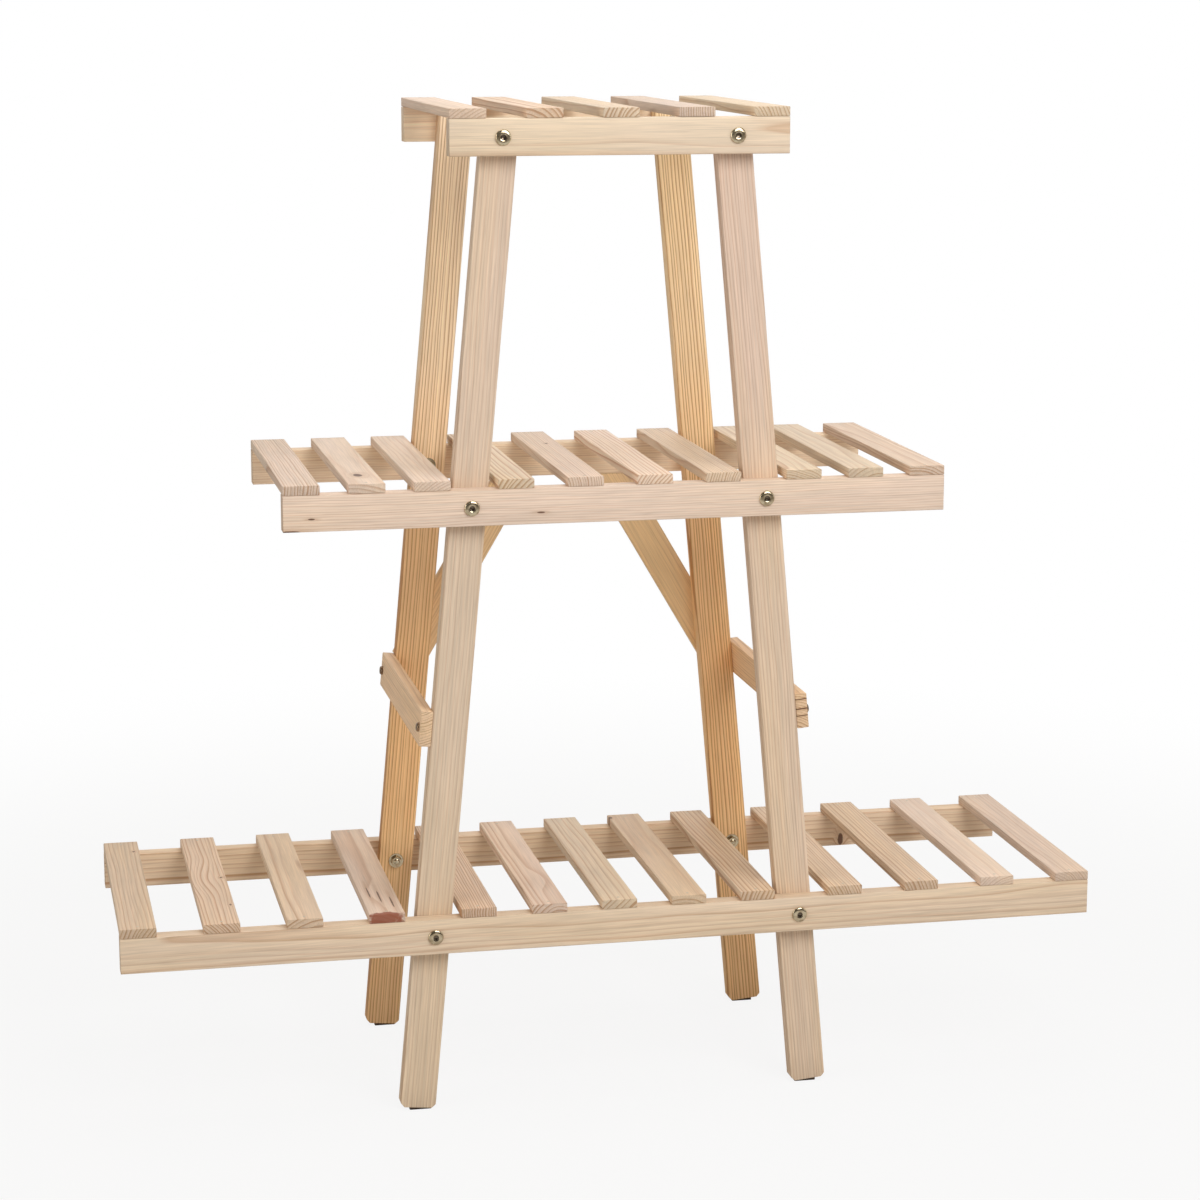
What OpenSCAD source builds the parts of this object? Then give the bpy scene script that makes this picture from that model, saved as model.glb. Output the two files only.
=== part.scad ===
// Three-tier plant ladder stand in planed pine, bolted together.
// Two frames of leaning legs, front and rear, are tied by rails outside them.
// Slats lie across the rails, and the legs pass up between the slats.
// +X runs along the tiers, +Y to the back, +Z up. The origin is on the floor,
// below the middle of the stand.

/* [Tiers] */
// Length of the bottom tier's rails
bottom_length = 1000; // [900:5:1200]
// Length of the middle tier's rails
middle_length = 665; // [600:5:800]
// Length of the top tier's rails
top_length = 335; // [320:5:460]
// Height of the bottom tier's upper face above the floor
bottom_height = 215; // [150:1:300]
// Height of the middle tier's upper face above the floor
middle_height = 648; // [600:1:720]
// Height of the top tier's upper face above the floor
top_height = 1005; // [900:5:1200]
// Depth over the front and rear rails, which is the slats' length too
depth = 315; // [240:5:400]

/* [Legs] */
// Distance over the two legs of a frame at the floor
foot_spread = 447; // [430:1:500]
// Distance over the two legs of a frame at their upper ends
top_spread = 264; // [240:1:290]
// Width of a leg across its broad face
leg_w = 36; // [30:1:42]
// Thickness of a leg
leg_t = 18; // [15:0.5:24]
// Drop from the top slats' undersides to a leg's upper end
leg_drop = 1; // [0.5:0.5:10]
// Bevel across the two corners of a leg's foot
foot_bevel = 4; // [1:0.5:6]

/* [Rails and slats] */
// Height of a rail
rail_h = 36; // [32:1:48]
// Thickness of a rail
rail_t = 18; // [15:0.5:24]
// Width of a slat
slat_w = 36; // [28:1:40]
// Thickness of a slat
slat_t = 9.5; // [8:0.5:15]
// Space outside a leg to the next slat, on the bottom tier
bottom_leg_gap = 14; // [3:0.5:24]
// Space outside a leg to the next slat, on the middle tier
middle_leg_gap = 4; // [2:0.5:10]
// Space inside a leg to the next slat
inner_leg_gap = 5.5; // [2:0.5:12]

/* [Braces] */
// Width of a side brace
side_brace_w = 36; // [28:1:48]
// Thickness of a side brace
side_brace_t = 12; // [9:0.5:18]
// Height of the side braces' middle above the floor
side_brace_height = 395; // [300:5:500]
// Width of a diagonal brace
diagonal_w = 36; // [28:1:42]
// Thickness of a diagonal brace
diagonal_t = 12; // [9:0.5:15]
// Height at which a diagonal brace's lower corner meets the leg's outer edge
diagonal_foot = 414; // [380:2:440]
// Lean of the diagonal braces from upright, in degrees
diagonal_lean = 30.5; // [28:0.5:34]

/* [Bolts] */
// Diameter of a frame bolt
bolt_d = 6; // [5:1:8]
// Length of bolt that stands past its nut
bolt_past = 2.6; // [1:0.1:6]
// Diameter of a bolt's head
bolt_head_d = 15.5; // [13:0.5:20]
// Height of a bolt's head
bolt_head_h = 2.6; // [2:0.1:4]
// Width across flats of the socket in a bolt's head
socket_af = 4; // [3:0.5:5]
// Diameter of a washer
washer_d = 16; // [13:0.5:20]
// Thickness of a washer
washer_t = 1.4; // [1:0.1:2]
// Width across flats of a nut
nut_af = 10; // [10:0.5:14]
// Thickness of a nut
nut_t = 5; // [4:0.1:6.5]

/* [Screws and pins] */
// Diameter of a domed screw
screw_d = 4.5; // [3.5:0.5:5]
// Diameter of a domed screw's head
screw_head_d = 9.5; // [8:0.5:12]
// Height of a domed screw's head
screw_head_h = 2.8; // [2:0.1:4]
// Length of a side brace's screw below its head
side_screw_l = 40; // [30:1:42]
// Length of the screw in a diagonal brace's lower end, below its head
foot_screw_l = 26; // [20:1:28]
// Distance of that screw from the diagonal brace's lower end
foot_screw_inset = 14; // [12:1:18]
// Diameter of the countersunk screw in a diagonal brace's upper end
rail_screw_d = 4; // [3:0.5:4.5]
// Diameter of the countersunk screw's head
rail_screw_head_d = 7.5; // [6.5:0.5:8]
// Length of the countersunk screw
rail_screw_l = 50; // [46:1:60]
// Distance of the countersunk screw from the brace's middle, towards the centre
rail_screw_offset = 5; // [0:0.5:7]
// Diameter of a slat pin
pin_d = 1.6; // [1.2:0.2:2.2]
// Length of a slat pin
pin_l = 25; // [20:1:30]
// Diameter of a slat pin's head
pin_head_d = 2.8; // [2.6:0.2:3.6]

/* [Foot pads] */
// Length of a foot pad across the leg
pad_l = 22; // [12:1:26]
// Width of a foot pad
pad_w = 14; // [10:0.5:15]
// Thickness of a foot pad at its thin inner edge
pad_t = 1.2; // [0.8:0.2:4]

/* [Finish] */
// Width of the flat planed off the long edges of every board
arris = 1.2; // [0.6:0.2:2]
// Room around each bolt, screw and pin in its hole
hole_gap = 0.2; // [0.1:0.05:0.4]
// Difference in diameter between a nut's bore and its bolt
thread_gap = 0.1; // [0.05:0.05:0.3]

/* [Hidden] */
$fn = 48;

PALE_PINE = "#e6cfb0";
WARM_PINE = "#d3a877";
ZINC = "#b9a97c";
DARK_STEEL = "#5e4a38";
PAD_BROWN = "#4a382b";

LEFT = -1;
RIGHT = 1;
FRONT = -1;
REAR = 1;
BOTTOM = 0;
MIDDLE = 1;
TOP = 2;
TIERS = [BOTTOM, MIDDLE, TOP];
SIDES = [LEFT, RIGHT];
FACES = [FRONT, REAR];

// Slats in each outer bay and in the centre bay of the two lower tiers
BOTTOM_OUTER = 4;
BOTTOM_CENTRE = 5;
MIDDLE_OUTER = 3;
MIDDLE_CENTRE = 4;
TOP_SLATS = 5;

tier_length = [bottom_length, middle_length, top_length];
tier_height = [bottom_height, middle_height, top_height];
leg_gap = [bottom_leg_gap, middle_leg_gap];
past_all = 5;              // how far a cutter runs past what it cuts
cut_reach = bottom_length; // larger than any level cut
point_end = 0.5;           // diameter of the blunt end of a screw's or pin's point
bolt_chamfer = 1;          // height and width taken off the end of a bolt
socket_deep = 1;           // how far a bolt's socket reaches below its head's seat
nut_turned = 0.8;          // diameter taken off a nut's corners at its faces

// A domed head: share of its height in the straight rim, and share of the whole
// dome that is left where the crown is cut off flat
RIM = 0.3;
CROWN = 0.85;

// A screw's cross recess, as shares of the head's diameter
RECESS_LONG = 0.58;
RECESS_WIDE = 0.13;
RECESS_DEEP = 0.18;

// ---- the leaning legs ----
leg_top = top_height - slat_t - leg_drop;
lean = atan((foot_spread - top_spread) / 2 / leg_top);
function leg_outer(z) = foot_spread / 2 - z * tan(lean);
function leg_inner(z) = leg_outer(z) - leg_w / cos(lean);
function leg_middle(z) = leg_outer(z) - leg_w / 2 / cos(lean);
// The square lower end clears the floor by the pad at the inner bevel's corner,
// and the outer corner of the square upper end is the leg's highest point
pad_inner = leg_w / 2 - foot_bevel;
leg_start = (pad_t + pad_inner * sin(lean)) / cos(lean);
leg_end = (leg_top - leg_w / 2 * sin(lean)) / cos(lean);
leg_back = depth / 2 - rail_t;   // the plane between legs and rails, from the middle
function leg_y(face) = face * (leg_back - leg_t / 2);

// ---- rails ----
function rail_top(tier) = tier_height[tier] - slat_t;
function rail_middle(tier) = rail_top(tier) - rail_h / 2;
function rail_y(face) = face * (depth - rail_t) / 2;

// ---- slats ----
// Middles of the slats next to a leg, outside it and inside it, and of the end slat
function outer_limit(tier) = leg_outer(rail_top(tier)) + leg_gap[tier] + slat_w / 2;
function inner_limit(tier) = leg_inner(tier_height[tier]) - inner_leg_gap - slat_w / 2;
function end_slat(tier) = tier_length[tier] / 2 - slat_w / 2;
function spread(from, to, count) =
    [for (i = [0:count - 1]) from + (to - from) * i / (count - 1)];
function split_tier(tier, outer, centre) = concat(
    spread(-end_slat(tier), -outer_limit(tier), outer),
    spread(-inner_limit(tier), inner_limit(tier), centre),
    spread(outer_limit(tier), end_slat(tier), outer));
slat_x = [
    split_tier(BOTTOM, BOTTOM_OUTER, BOTTOM_CENTRE),
    split_tier(MIDDLE, MIDDLE_OUTER, MIDDLE_CENTRE),
    spread(-end_slat(TOP), end_slat(TOP), TOP_SLATS)
];

// ---- braces ----
side_brace_s = side_brace_height / cos(lean);
brace_top = rail_top(MIDDLE) - rail_h;
diagonal_s = (brace_top - diagonal_foot + diagonal_w / 2 * sin(diagonal_lean)) / cos(diagonal_lean);
// The left diagonal brace's middle where it meets the rail, and its screw there
diagonal_top_x = -leg_outer(diagonal_foot) + diagonal_w / 2 * cos(diagonal_lean)
    + diagonal_s * sin(diagonal_lean);
rail_screw_x = diagonal_top_x + rail_screw_offset;
rail_screw_y = leg_back + diagonal_t / 2;

bolt_l = rail_t + leg_t + washer_t + nut_t + bolt_past;
pin_head_h = pin_d / 2;

// ---- placing ----
// What is drawn for the left side comes out on the side asked for
module on_side(side) {
    mirror([side == RIGHT ? 1 : 0, 0, 0]) children();
}

// Local Z runs up the left leg's middle line, and local X across it
module in_left_leg() {
    translate([-leg_middle(0), 0, 0]) rotate([0, lean, 0]) children();
}

// Local Z runs up the left diagonal brace from its lower outer corner
module in_left_diagonal() {
    translate([-leg_outer(diagonal_foot), leg_back, diagonal_foot])
        rotate([0, diagonal_lean, 0]) children();
}

// Each crossing of a rail and a leg: local Z goes in through rail and leg
module at_frame_joints(tiers, sides, faces) {
    for (tier = tiers, side = sides, face = faces)
        translate([side * leg_middle(rail_middle(tier)), face * depth / 2, rail_middle(tier)])
            rotate([90 * face, 0, 0]) children();
}

// The two screws of the left side brace: local Z goes in through brace and leg
module at_side_screws() {
    in_left_leg()
        for (face = FACES)
            translate([-leg_w / 2 - side_brace_t, leg_y(face), side_brace_s])
                rotate([0, 90, 0]) children();
}

// The screw in the left diagonal brace's lower end: local Z goes in to the leg
module at_foot_screw() {
    in_left_diagonal()
        translate([diagonal_w / 2, diagonal_t, foot_screw_inset]) rotate([90, 0, 0]) children();
}

// The screw through the rear rail into the left diagonal brace: local Z points down
module at_rail_screw() {
    translate([rail_screw_x, rail_screw_y, rail_top(MIDDLE)]) rotate([180, 0, 0]) children();
}

// The two pins of a slat: local Z points down from the slat's upper face
module at_slat_pins(tier, x) {
    for (face = FACES)
        translate([x, rail_y(face), tier_height[tier]]) rotate([180, 0, 0]) children();
}

module at_tier_pins(tier) {
    for (x = slat_x[tier]) at_slat_pins(tier, x) children();
}

// ---- holes ----
module bolt_hole() {
    translate([0, 0, -past_all]) cylinder(d = bolt_d + 2 * hole_gap, h = bolt_l + past_all);
}

module screw_hole(long) {
    translate([0, 0, -past_all])
        cylinder(d = screw_d + 2 * hole_gap, h = long + hole_gap + past_all);
}

// The countersunk head seats on the cone, flush with the rail's upper edge
module rail_screw_hole() {
    cylinder(d = rail_screw_d + 2 * hole_gap, h = rail_screw_l + hole_gap);
    countersink();
}

// The pin's head seats in a shallow counterbore, flush with the slat
module pin_hole() {
    cylinder(d = pin_d + 2 * hole_gap, h = pin_l + hole_gap);
    translate([0, 0, -past_all])
        cylinder(d = pin_head_d + 2 * hole_gap, h = pin_head_h + past_all);
}

// ---- boards ----
// Cross-section of a planed board, its corners taken off by the arris
module board_section(across, thick) {
    x = across / 2;
    y = thick / 2;
    c = arris / sqrt(2);
    polygon([[-x + c, -y], [x - c, -y], [x, -y + c], [x, y - c],
             [x - c, y], [-x + c, y], [-x, y - c], [-x, -y + c]]);
}

// Broad face of a leg: square at both ends, the two corners of the foot bevelled
module leg_face() {
    x = leg_w / 2;
    polygon([[-x + foot_bevel, leg_start], [x - foot_bevel, leg_start],
             [x, leg_start + foot_bevel], [x, leg_end],
             [-x, leg_end], [-x, leg_start + foot_bevel]]);
}

// A leg is drilled for the bolts and screws that pass into it
module leg(side, face) {
    on_side(side) difference() {
        in_left_leg()
            translate([0, leg_y(face), 0]) intersection() {
                linear_extrude(leg_end + past_all) board_section(leg_w, leg_t);
                rotate([90, 0, 0]) linear_extrude(2 * leg_t, center = true) leg_face();
            }
        at_frame_joints(TIERS, [LEFT], [face]) bolt_hole();
        at_side_screws() screw_hole(side_screw_l);
        if (face == REAR) at_foot_screw() screw_hole(foot_screw_l);
    }
}

module rail(tier, face) {
    difference() {
        translate([-tier_length[tier] / 2, rail_y(face), rail_middle(tier)])
            rotate([90, 0, 90]) linear_extrude(tier_length[tier]) board_section(rail_t, rail_h);
        at_frame_joints([tier], SIDES, [face]) bolt_hole();
        at_tier_pins(tier) pin_hole();
        if (tier == MIDDLE && face == REAR) {
            for (side = SIDES) on_side(side) at_rail_screw() rail_screw_hole();
        }
    }
}

module slat(tier, index) {
    x = slat_x[tier][index - 1];
    difference() {
        translate([x, 0, tier_height[tier] - slat_t / 2])
            rotate([90, 0, 0]) linear_extrude(depth, center = true)
                board_section(slat_w, slat_t);
        at_slat_pins(tier, x) pin_hole();
    }
}

// A side brace lies on the leaning outer edges of the front and rear leg
module side_brace(side) {
    on_side(side) difference() {
        in_left_leg()
            translate([-leg_w / 2 - side_brace_t / 2, 0, side_brace_s])
                rotate([90, 0, 0]) linear_extrude(2 * leg_back, center = true)
                    board_section(side_brace_t, side_brace_w);
        at_side_screws() screw_hole(side_screw_l);
    }
}

// A diagonal brace is cut square below, and level above to butt under the rail
module diagonal_brace(side) {
    on_side(side) difference() {
        in_left_diagonal()
            translate([diagonal_w / 2, diagonal_t / 2, 0])
                linear_extrude(2 * diagonal_s) board_section(diagonal_w, diagonal_t);
        translate([-cut_reach / 2, 0, brace_top]) cube(cut_reach);
        at_foot_screw() screw_hole(foot_screw_l);
        at_rail_screw() rail_screw_hole();
    }
}

// ---- fixings ----
// Low dome on a straight rim: its seat is at z = 0 and it stands up along -Z
module domed_head(across, high) {
    rim = high * RIM;
    cap = (high - rim) / CROWN;
    ball = (across * across / 4 + cap * cap) / (2 * cap);
    mirror([0, 0, 1]) intersection() {
        translate([0, 0, rim + cap - ball]) sphere(r = ball, $fn = 96);
        cylinder(d = across, h = high);
    }
}

// Round shank along +Z from z = 0, drawn in to a smaller end
module shank(across, long, end_l, end_d) {
    cylinder(d = across, h = long - end_l);
    translate([0, 0, long - end_l]) cylinder(d1 = across, d2 = end_d, h = end_l);
}

// Cross recess cut down from the top of a screw's head
module cross_recess(head_d, top) {
    long = head_d * RECESS_LONG;
    wide = head_d * RECESS_WIDE;
    for (turn = [0, 90])
        rotate([0, 0, turn]) translate([-long / 2, -wide / 2, top - past_all])
            cube([long, wide, past_all + head_d * RECESS_DEEP]);
}

module frame_bolt() {
    difference() {
        union() {
            domed_head(bolt_head_d, bolt_head_h);
            shank(bolt_d, bolt_l, bolt_chamfer, bolt_d - 2 * bolt_chamfer);
        }
        translate([0, 0, -past_all])
            cylinder(d = socket_af / cos(30), h = past_all + socket_deep, $fn = 6);
    }
}

module washer() {
    translate([0, 0, rail_t + leg_t]) difference() {
        cylinder(d = washer_d, h = washer_t);
        translate([0, 0, -past_all])
            cylinder(d = bolt_d + 2 * hole_gap, h = washer_t + 2 * past_all);
    }
}

// Hexagon nut with its corners turned off on both faces
module hex_nut() {
    corners = nut_af / cos(30);
    turned = corners - nut_turned;
    translate([0, 0, rail_t + leg_t + washer_t]) difference() {
        intersection() {
            cylinder(d = corners, h = nut_t, $fn = 6);
            cylinder(d1 = turned, d2 = turned + 2 * nut_t, h = nut_t);
            cylinder(d1 = turned + 2 * nut_t, d2 = turned, h = nut_t);
        }
        translate([0, 0, -past_all])
            cylinder(d = bolt_d + thread_gap, h = nut_t + 2 * past_all);
    }
}

module domed_screw(long) {
    difference() {
        union() {
            domed_head(screw_head_d, screw_head_h);
            shank(screw_d, long, screw_d, point_end);
        }
        cross_recess(screw_head_d, -screw_head_h);
    }
}

// The cone under a countersunk head
module countersink() {
    deep = (rail_screw_head_d - rail_screw_d) / 2;
    cylinder(d1 = rail_screw_head_d, d2 = rail_screw_d, h = deep);
}

module countersunk_screw() {
    difference() {
        union() {
            countersink();
            shank(rail_screw_d, rail_screw_l, rail_screw_d, point_end);
        }
        cross_recess(rail_screw_head_d, 0);
    }
}

module pin() {
    cylinder(d = pin_head_d, h = pin_head_h);
    shank(pin_d, pin_l, pin_d, point_end);
}

// A soft pad backs on to the leg's square end and is pressed level by the floor
module foot_pad(face) {
    intersection() {
        in_left_leg()
            translate([pad_inner - pad_l / 2, leg_y(face), -leg_start])
                linear_extrude(2 * leg_start) board_section(pad_l, pad_w);
        translate([-cut_reach, -depth, 0]) cube([2 * cut_reach, 2 * depth, leg_top]);
    }
}

// ---- sub-parts ----
module front_leg(side) { color(PALE_PINE) leg(side, FRONT); }
module rear_leg(side) { color(WARM_PINE) leg(side, REAR); }
module front_rail(tier) { color(PALE_PINE) rail(tier, FRONT); }
module rear_rail(tier) { color(PALE_PINE) rail(tier, REAR); }
module bottom_slat(index) { color(PALE_PINE) slat(BOTTOM, index); }
module middle_slat(index) { color(PALE_PINE) slat(MIDDLE, index); }
module top_slat(index) { color(PALE_PINE) slat(TOP, index); }
module side_brace_board(side) { color(WARM_PINE) side_brace(side); }
module diagonal_brace_board(side) { color(WARM_PINE) diagonal_brace(side); }

module frame_bolts() {
    color(ZINC) at_frame_joints(TIERS, SIDES, FACES) frame_bolt();
}

module bolt_washers() {
    color(ZINC) at_frame_joints(TIERS, SIDES, FACES) washer();
}

module hex_nuts() {
    color(ZINC) at_frame_joints(TIERS, SIDES, FACES) hex_nut();
}

module side_brace_screws() {
    color(DARK_STEEL) for (side = SIDES) on_side(side) at_side_screws() domed_screw(side_screw_l);
}

module diagonal_foot_screws() {
    color(DARK_STEEL) for (side = SIDES) on_side(side) at_foot_screw() domed_screw(foot_screw_l);
}

module diagonal_rail_screws() {
    color(DARK_STEEL) for (side = SIDES) on_side(side) at_rail_screw() countersunk_screw();
}

module slat_pins() {
    color(DARK_STEEL) for (tier = TIERS) at_tier_pins(tier) pin();
}

module foot_pads() {
    color(PAD_BROWN) for (side = SIDES, face = FACES) on_side(side) foot_pad(face);
}

front_leg(LEFT);  // front_left_leg
front_leg(RIGHT);  // front_right_leg
rear_leg(LEFT);  // rear_left_leg
rear_leg(RIGHT);  // rear_right_leg
front_rail(BOTTOM);  // bottom_front_rail
rear_rail(BOTTOM);  // bottom_rear_rail
front_rail(MIDDLE);  // middle_front_rail
rear_rail(MIDDLE);  // middle_rear_rail
front_rail(TOP);  // top_front_rail
rear_rail(TOP);  // top_rear_rail
bottom_slat(1);  // bottom_slat_1
bottom_slat(2);  // bottom_slat_2
bottom_slat(3);  // bottom_slat_3
bottom_slat(4);  // bottom_slat_4
bottom_slat(5);  // bottom_slat_5
bottom_slat(6);  // bottom_slat_6
bottom_slat(7);  // bottom_slat_7
bottom_slat(8);  // bottom_slat_8
bottom_slat(9);  // bottom_slat_9
bottom_slat(10);  // bottom_slat_10
bottom_slat(11);  // bottom_slat_11
bottom_slat(12);  // bottom_slat_12
bottom_slat(13);  // bottom_slat_13
middle_slat(1);  // middle_slat_1
middle_slat(2);  // middle_slat_2
middle_slat(3);  // middle_slat_3
middle_slat(4);  // middle_slat_4
middle_slat(5);  // middle_slat_5
middle_slat(6);  // middle_slat_6
middle_slat(7);  // middle_slat_7
middle_slat(8);  // middle_slat_8
middle_slat(9);  // middle_slat_9
middle_slat(10);  // middle_slat_10
top_slat(1);  // top_slat_1
top_slat(2);  // top_slat_2
top_slat(3);  // top_slat_3
top_slat(4);  // top_slat_4
top_slat(5);  // top_slat_5
side_brace_board(LEFT);  // left_side_brace
side_brace_board(RIGHT);  // right_side_brace
diagonal_brace_board(LEFT);  // left_diagonal_brace
diagonal_brace_board(RIGHT);  // right_diagonal_brace
frame_bolts();
bolt_washers();
hex_nuts();
side_brace_screws();
diagonal_foot_screws();
diagonal_rail_screws();
slat_pins();
foot_pads();
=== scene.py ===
import math
import random

import bmesh
import bpy
from bpy.props import FloatProperty, FloatVectorProperty, PointerProperty
from bpy.types import Operator, Panel, PropertyGroup
from mathutils import Matrix, Vector, geometry, noise


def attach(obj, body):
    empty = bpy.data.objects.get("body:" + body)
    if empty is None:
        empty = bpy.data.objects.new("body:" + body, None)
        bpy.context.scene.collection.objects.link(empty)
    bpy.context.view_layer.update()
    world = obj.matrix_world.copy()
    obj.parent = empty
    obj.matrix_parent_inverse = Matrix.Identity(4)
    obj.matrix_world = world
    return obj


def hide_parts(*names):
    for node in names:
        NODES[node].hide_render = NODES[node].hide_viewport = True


bl_info = {
    "name": "Plant ladder stand",
    "version": (1, 0, 0),
    "blender": (4, 5, 0),
    "location": "3D View > Sidebar > Plant stand",
    "description": "Dresses a three-tier pine plant stand in sawn boards and fixings",
    "category": "Add Mesh",
}

# Lengths are in metres: X runs to the right, Y to the back and Z up from the floor
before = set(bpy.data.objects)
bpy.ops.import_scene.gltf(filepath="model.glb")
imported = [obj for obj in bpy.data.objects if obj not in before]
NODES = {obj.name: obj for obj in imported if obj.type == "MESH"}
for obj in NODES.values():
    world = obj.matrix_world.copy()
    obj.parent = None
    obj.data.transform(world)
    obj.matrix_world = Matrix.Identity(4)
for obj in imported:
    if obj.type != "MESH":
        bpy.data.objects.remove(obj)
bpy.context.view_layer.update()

X, Y, Z = Vector((1, 0, 0)), Vector((0, 1, 0)), Vector((0, 0, 1))
UP_BACK_RIGHT = Vector((1, 2, 4))    # the grain points up, else back, else right
SQUARE, ALONG = 0.02, 0.99           # cosines: directions below are square, above in line
AROUND = 48                          # points round a turned piece
SIDES = ("left", "right")
TIERS = ("bottom", "middle", "top")


# ---------------------------------------------------------------- settings

def length(name, default, text):
    return FloatProperty(name=name, default=default, min=0, description=text,
                         subtype="DISTANCE", unit="LENGTH", precision=5)


def colour(name, default, text):
    return FloatVectorProperty(name=name, default=default, size=3, min=0, max=1,
                               subtype="COLOR", description=text)


def power(name, default, text):
    return FloatProperty(name=name, default=default, min=0, description=text,
                         unit="POWER")


class PlantStandWood(PropertyGroup):
    arris: length("Arris", 0.001, "Rounding along the long edges of every board")
    end_break: length("Broken end edge", 0.0004, "Rounding round the sawn ends")
    planing: length("Planing", 0.00022, "How far the planed faces wander inwards")
    ring: length("Ring width", 0.0032, "Width of one year's growth in the pine")
    pale_early: colour("Pale pine", (0.83, 0.68, 0.525), "Spring wood of the pale boards")
    pale_late: colour("Pale pine rings", (0.58, 0.365, 0.22),
                      "Summer wood of the pale boards")
    warm_early: colour("Warm pine", (0.91, 0.66, 0.375), "Spring wood of the warm boards")
    warm_late: colour("Warm pine rings", (0.53, 0.29, 0.12),
                      "Summer wood of the warm boards")
    knot: colour("Knots", (0.13, 0.055, 0.028), "Heart of a knot")


class PlantStandFixings(PropertyGroup):
    zinc: colour("Yellow zinc", (0.76, 0.66, 0.47), "Plating of the bolts and nuts")
    film: colour("Plating film", (0.50, 0.40, 0.26), "Greenish film on the plating")
    screw: colour("Screws", (0.36, 0.24, 0.15), "Plating of the screws")
    pin: colour("Pins", (0.66, 0.58, 0.47), "Bare steel of the slat pins")
    pad: colour("Foot pads", (0.045, 0.030, 0.022), "Soft pads under the legs")
    thread: length("Thread pitch", 0.001, "Pitch of the bolts' thread")


class PlantStandStudio(PropertyGroup):
    floor: colour("Floor", (0.60, 0.60, 0.60), "Paper under and behind the stand")
    room: colour("Room light colour", (1.0, 0.87, 0.71), "Warm light from all round")
    sky: FloatProperty(name="Room light", default=0.30, min=0,
                       description="Strength of the even light from all round")
    key: power("Main lamp", 51.5, "Power of the large lamp above the front")
    top: power("Top lamp", 19.5, "Power of the lamp over the top shelf")
    right: power("Right lamp", 8.0, "Power of the lamp at the right")
    left: power("Left lamp", 21.0, "Power of the lamp at the left")
    rear: power("Rear lamp", 9.0, "Power of the lamp behind the stand")


# ---------------------------------------------------------------- materials

class Socket:
    """An output socket. Python's operators on it add Math nodes."""

    def __init__(self, sheet, out):
        self.sheet = sheet
        self.out = out

    def math(self, operation, *values):
        return self.sheet.math(operation, self, *values)

    def __add__(self, other):
        return self.sheet.math("ADD", self, other)

    def __sub__(self, other):
        return self.sheet.math("SUBTRACT", self, other)

    def __rsub__(self, other):
        return self.sheet.math("SUBTRACT", other, self)

    def __mul__(self, other):
        return self.sheet.math("MULTIPLY", self, other)

    def __truediv__(self, other):
        return self.sheet.math("DIVIDE", self, other)

    def __pow__(self, other):
        return self.sheet.math("POWER", self, other)

    __radd__ = __add__


class Sheet:
    """The nodes of one material, light or world."""

    def __init__(self, tree):
        self.tree = tree
        tree.nodes.clear()

    def node(self, kind, settings=None, inputs=None, output=0):
        """A node of this kind: its settings are made first, then its sockets."""
        new = self.tree.nodes.new(kind)
        for key, value in (settings or {}).items():
            if key == "stops":
                ramp = new.color_ramp.elements
                while len(ramp) < len(value):
                    ramp.new(1.0)
                for element, (place, shade) in zip(ramp, value):
                    element.position = place
                    element.color = (shade, shade, shade, 1.0)
            else:
                setattr(new, key, value)
        for key, value in (inputs or {}).items():
            if isinstance(value, Socket):
                self.tree.links.new(value.out, new.inputs[key])
            else:
                new.inputs[key].default_value = value
        if output is None:
            return [Socket(self, out) for out in new.outputs]
        return Socket(self, new.outputs[output])

    def math(self, operation, *values):
        return self.node("ShaderNodeMath", {"operation": operation}, dict(enumerate(values)))

    def vector(self, operation, *values):
        return self.node("ShaderNodeVectorMath", {"operation": operation},
                         dict(enumerate(values)))

    def scaled(self, place, by):
        return self.vector("MULTIPLY", place, by)

    def split(self, place):
        return self.node("ShaderNodeSeparateXYZ", inputs={0: place}, output=None)

    def join(self, x, y, z):
        return self.node("ShaderNodeCombineXYZ", inputs={0: x, 1: y, 2: z})

    def noise(self, place, detail, output=0):
        return self.node("ShaderNodeTexNoise", inputs={"Vector": place, "Scale": 1.0,
                                                       "Detail": detail}, output=output)

    def ramp(self, value, *stops):
        return self.node("ShaderNodeValToRGB", {"stops": stops}, {0: value})

    def smooth(self, value, low, high):
        return self.node("ShaderNodeMapRange", {"interpolation_type": "SMOOTHSTEP"},
                         {0: value, 1: low, 2: high})

    def mix(self, share, a, b):
        return self.node("ShaderNodeMix", {"data_type": "RGBA"},
                         {0: share, 6: a, 7: b}, output=2)

    def attribute(self, name, output="Vector"):
        return self.node("ShaderNodeAttribute", {"attribute_name": name}, output=output)

    def surface(self, inputs):
        shader = self.node("ShaderNodeBsdfPrincipled", inputs=inputs)
        self.node("ShaderNodeOutputMaterial", inputs={"Surface": shader}, output=None)


def new_material(name):
    material = bpy.data.materials.new(name)
    material.use_nodes = True
    return material, Sheet(material.node_tree)


def rgba(shade):
    return (*shade, 1.0)


def toned(shade, share):
    """The same colour, darker or lighter."""
    return [part * share for part in shade]


HALF = (0.5, 0.5, 0.5)                 # the middle of a noise
WARMER = (1.01, 1.0, 0.975, 1.0)       # the pine's hue drifts from this
COOLER = (0.99, 0.99, 1.015, 1.0)      # to this
STAIN = (0.31, 0.085, 0.04, 1.0)       # resin that has soaked into an end
RECESS_SHADE = (0.06, 0.035, 0.03, 1.0)       # painted shade in the recess of a head
DUST = (0.30, 0.25, 0.19, 1.0)         # what clings to the foot pads


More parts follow.
